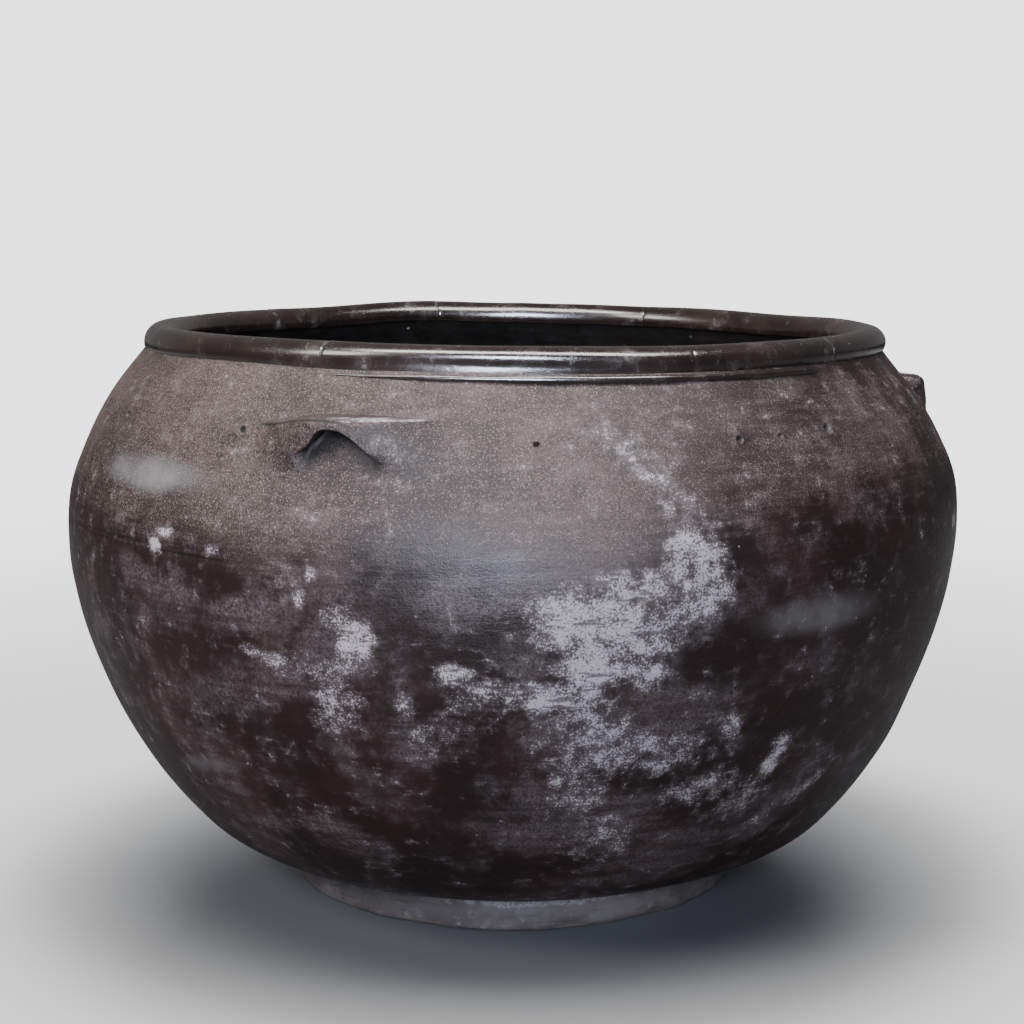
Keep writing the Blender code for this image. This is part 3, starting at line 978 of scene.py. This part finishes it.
def lug_section(across):
    """One section of a lug, as (radii, heights), at this distance across the wall."""
    share = max(0.0, 1 - (across / LUG_REACH) ** 2) ** 1.6
    top = LUG_TOP - 0.0090 * smooth(0.015, 0.084, -across) - 0.0020 * smooth(0.03, 0.084, across)
    bottom = LUG_BOTTOM + 0.008 * (across / LUG_REACH) ** 2
    lip = float(arch_lip(across))
    open_share = float(hollow_share(across))
    skin = SKIN * (0.35 + 0.65 * (1 - smooth(0.6, 1.0, abs(across) / LUG_REACH)))

    def laid_on(z):
        left_fade = smooth(0.0, 0.020, across + LUG_REACH)
        return skin * smooth(bottom, bottom + 0.016, z) * left_fade - 0.0001

    def face(z):
        wall = wall_radius(z)
        stand = np.maximum(LUG_FACE - wall, 0.0) * smooth(ARCH_FOOT - 0.016, ARCH_FOOT + 0.014, z)
        return wall + laid_on(z) + share * stand

    corner = min(0.0058 * share + 0.0012, top - lip - 0.004)
    radii, heights = [], []
    shoulder = face(top - corner)
    shelf = np.linspace(0, 1, SHELF_POINTS + 1)[:-1]
    back = wall_radius(top) - 0.0004
    radii += list(back + (shoulder - corner - back) * shelf)
    heights += list(top - 0.0012 * share * shelf)
    for step in range(CORNER_POINTS):
        turn = math.radians(90 - step * 90 / (CORNER_POINTS - 1))
        radii.append(shoulder - corner + corner * math.cos(turn))
        heights.append(top - corner - 0.0012 * share + corner * math.sin(turn))
    face_top = top - corner - 0.0012 * share
    z = np.linspace(face_top, lip + 0.0016, FACE_POINTS + 1)[1:]
    radii += list(face(z))
    heights += list(z)

    # the lip, the underside that slopes in to the wall, and the thin skin of clay below
    depth = max(face(lip) - wall_radius(lip) - laid_on(lip), 0.0) * open_share
    lip_face = face(lip + 0.0016)
    for step, fall in ((0.10, 1.0), (0.30, 0.4), (0.55, -0.6), (0.80, -1.4), (0.96, -1.0)):
        radii.append(lip_face - depth * step)
        heights.append(lip + 0.0016 * (1 - fall) * open_share)
    z = np.linspace(lip - 0.0012, bottom, 12)
    under_face = face(z) - open_share * (face(z) - wall_radius(z) - laid_on(z))
    radii += list(under_face)
    heights += list(z)
    z = np.linspace(bottom, top, 7)
    radii += list(wall_radius(z) - 0.0006)
    heights += list(z)
    return np.array(radii), np.array(heights)


def make_lug(name, azimuth):
    stations = np.linspace(-LUG_REACH, LUG_REACH, 169)
    rows = [lug_section(across) for across in stations]
    radii = np.array([row[0] for row in rows])
    heights = np.array([row[1] for row in rows])
    theta = azimuth + np.degrees(stations / LUG_WALL_RADIUS)[:, None] + 0 * radii
    sections = on_pot(theta, radii, heights)
    count, points = sections.shape[:2]
    across = stations[:, None] + 0 * radii
    # painted shade: a thin dark line along the top left, where the lug was pressed on, stands in
    # for the shade in its crack
    crack_line = LUG_TOP - 0.0024 - 0.0090 * smooth(0.015, 0.084, -across)
    crack_line -= 0.0050 * smooth(0.0, 0.022, across)
    painted_shade = np.exp(-(((heights - crack_line) / 0.0008) ** 2)) * (1 - smooth(0.012, 0.024, across))
    painted_shade *= smooth(-0.083, -0.070, across)
    painted_shade[:, : SHELF_POINTS + 2] = 0
    # painted shade: the hollow is darkened up under its lip, where shade falls
    lips = arch_lip(stations)
    below = lips[:, None] + 0.0012 - heights
    shade = 0.86 * (1 - smooth(0.003, 0.030, np.maximum(below, 0))) * hollow_share(across)
    shade[:, : SHELF_POINTS + CORNER_POINTS + FACE_POINTS] = 0
    painted_shade = np.maximum(painted_shade, shade)
    # the top edge is rubbed pale
    ridge = np.zeros_like(across)
    ridge[:, SHELF_POINTS - 2 : SHELF_POINTS + 4] = 0.85
    ridge *= smooth(-0.015, 0.005, across) * (1 - smooth(0.060, 0.078, across))
    attributes = {
        "deposit": np.maximum(deposit_amount(theta, heights), ridge),
        "dust": dust_amount(theta, heights),
        "pale_patch": pale_patch_amount(theta, heights),
        "veil": veil_amount(theta, heights),
        "painted_shade": np.clip(painted_shade, 0, 1),
    }
    piece = add_piece(
        f"look_{name}",
        sections.reshape(-1, 3),
        ring_faces(count, points, closed=False),
        (BODY,),
        None,
        attributes,
        sharp=40,
    )
    finish_piece(piece, name)


for band in range(len(BANDS)):
    make_band(band)
make_foot()
make_slab()
make_rim()
make_bead()
for lug_name, lug_azimuth in zip(LUG_NAMES, LUG_AZIMUTHS):
    make_lug(lug_name, lug_azimuth)

# ---------------------------------------------------------------- floor, light and camera


def studio_floor():
    """A pale floor with a painted shadow close round the pot, that glows for the camera further
    out.
    """
    mesh = bpy.data.meshes.new("studio_floor")
    mesh.from_pydata([(-9, -9, 0), (9, -9, 0), (9, 9, 0), (-9, 9, 0)], [], [(0, 1, 2, 3)])
    floor = bpy.data.objects.new("studio_floor", mesh)
    floor.location.z = -0.0002
    bpy.context.scene.collection.objects.link(floor)
    paint = Clay("floor_paint")
    split = paint.tree.nodes.new("ShaderNodeSeparateXYZ")
    paint.join(paint.place, split.inputs[0])
    x, y = split.outputs["X"], split.outputs["Y"]
    soft = paint.noise(1.3, 3, 0.5)
    spread = paint.math("ADD", paint.times(x, x), paint.times(y, y))
    spread = paint.math("SQRT", spread)
    # painted shadow: the floor is dark within 0.28 m of the axis and pale beyond 0.60 m
    colour = paint.mix(paint.step(spread, 0.28, 0.60), (0.165, 0.172, 0.188), (0.790, 0.790, 0.770))
    colour = paint.mix(paint.step(soft, 0.4, 0.7, 0, 0.04), colour, (0.5, 0.5, 0.5))
    normal = paint.bump(paint.noise(160, 3, 0.6), 0.05, 0.0005)
    material = paint.finish(colour, paint.step(soft, 0.3, 0.7, 0.42, 0.50), normal)

    # further out the camera sees a glow that runs into the bright backdrop
    nodes, links = paint.tree.nodes, paint.tree.links
    beyond = paint.step(spread, 0.42, 0.66)
    glow_colour = paint.mix(paint.step(spread, 0.60, 2.70), (1.45, 1.46, 1.45), (2.70, 2.71, 2.72))
    path = nodes.new("ShaderNodeLightPath")
    glow = nodes.new("ShaderNodeEmission")
    paint.join(glow_colour, glow.inputs["Color"])
    mix = nodes.new("ShaderNodeMixShader")
    paint.join(paint.times(path.outputs["Is Camera Ray"], beyond), mix.inputs[0])
    links.new(paint.shader.outputs[0], mix.inputs[1])
    links.new(glow.outputs[0], mix.inputs[2])
    # light that bounces off the floor comes from a dim grey one
    dim = nodes.new("ShaderNodeBsdfDiffuse")
    dim.inputs["Color"].default_value = (0.13, 0.13, 0.135, 1)
    seen = nodes.new("ShaderNodeMixShader")
    links.new(path.outputs["Is Camera Ray"], seen.inputs[0])
    links.new(dim.outputs[0], seen.inputs[1])
    links.new(mix.outputs[0], seen.inputs[2])
    links.new(seen.outputs[0], nodes["Material Output"].inputs["Surface"])
    mesh.materials.append(material)


def area_light(name, place, aim, width, height, watts, colour=(1, 1, 1), matt=True, shiny=True):
    """A soft light; matt and shiny say whether it is seen in matt surfaces and in reflections."""
    light = bpy.data.lights.new(name, "AREA")
    light.shape = "RECTANGLE"
    light.size, light.size_y = width, height
    light.energy = watts
    light.color = colour
    item = bpy.data.objects.new(name, light)
    item.location = place
    item.visible_diffuse = matt
    item.visible_glossy = shiny
    item.rotation_euler = (Vector(aim) - Vector(place)).to_track_quat("-Z", "Y").to_euler()
    bpy.context.scene.collection.objects.link(item)


def studio_light():
    """A bright backdrop for the camera, a dim surround for the light, and six soft lights."""
    world = bpy.data.worlds.new("studio")
    bpy.context.scene.world = world
    world.use_nodes = True
    nodes, links = world.node_tree.nodes, world.node_tree.links
    nodes.clear()
    output = nodes.new("ShaderNodeOutputWorld")
    seen = nodes.new("ShaderNodeBackground")
    seen.inputs["Color"].default_value = (1, 1, 1, 1)
    seen.inputs["Strength"].default_value = 2.7
    around = nodes.new("ShaderNodeBackground")
    place = nodes.new("ShaderNodeTexCoord")
    split = nodes.new("ShaderNodeSeparateXYZ")
    links.new(place.outputs["Generated"], split.inputs[0])
    depth = nodes.new("ShaderNodeMapRange")
    depth.interpolation_type = "SMOOTHSTEP"
    depth.inputs["From Min"].default_value = -0.35
    depth.inputs["From Max"].default_value = 0.75
    depth.inputs["To Min"].default_value = 0.068
    depth.inputs["To Max"].default_value = 0.14
    links.new(split.outputs["Y"], depth.inputs["Value"])
    links.new(depth.outputs["Result"], around.inputs["Strength"])
    around.inputs["Color"].default_value = (1.0, 0.985, 0.98, 1)
    path = nodes.new("ShaderNodeLightPath")
    mix = nodes.new("ShaderNodeMixShader")
    links.new(path.outputs["Is Camera Ray"], mix.inputs[0])
    links.new(around.outputs[0], mix.inputs[1])
    links.new(seen.outputs[0], mix.inputs[2])
    links.new(mix.outputs[0], output.inputs[0])
    pot_top, pot_middle = (0, -0.2, 0.45), (0, 0, 0.40)
    warm, cool = (1.0, 0.98, 0.96), (0.76, 0.83, 1.0)
    area_light("overhead", (0.0, -0.85, 2.75), pot_top, 2.6, 0.6, 42, (1.0, 0.98, 0.955))
    area_light("overhead_gloss", (0.0, -0.90, 2.72), pot_top, 3.0, 0.85, 125, warm, matt=False)
    area_light("window", (-0.10, -3.3, 1.22), pot_middle, 1.1, 0.62, 56, (0.78, 0.85, 1.0))
    area_light("window_gloss", (-0.15, -3.35, 1.22), pot_middle, 1.4, 1.35, 250, cool, matt=False)
    area_light("left_fill", (-2.4, -1.6, 2.1), pot_middle, 1.2, 1.2, 62, (1.0, 0.97, 0.94))
    area_light("back_wash", (0.2, 2.6, 1.7), (0, 0.75, 0.0), 2.6, 1.2, 185, shiny=False)


CAMERA_PLACE = (0, -2.0137, 0.658)
CAMERA_DOWN = 8.783
CAMERA_LENS = 73.8


def studio_camera():
    camera = bpy.data.cameras.new("camera")
    camera.sensor_width = 36
    camera.lens = CAMERA_LENS
    camera.shift_x = -0.001
    item = bpy.data.objects.new("camera", camera)
    item.location = CAMERA_PLACE
    item.rotation_euler = (math.radians(90 - CAMERA_DOWN), 0, 0)
    bpy.context.scene.collection.objects.link(item)
    bpy.context.scene.camera = item


studio_floor()
studio_light()
studio_camera()
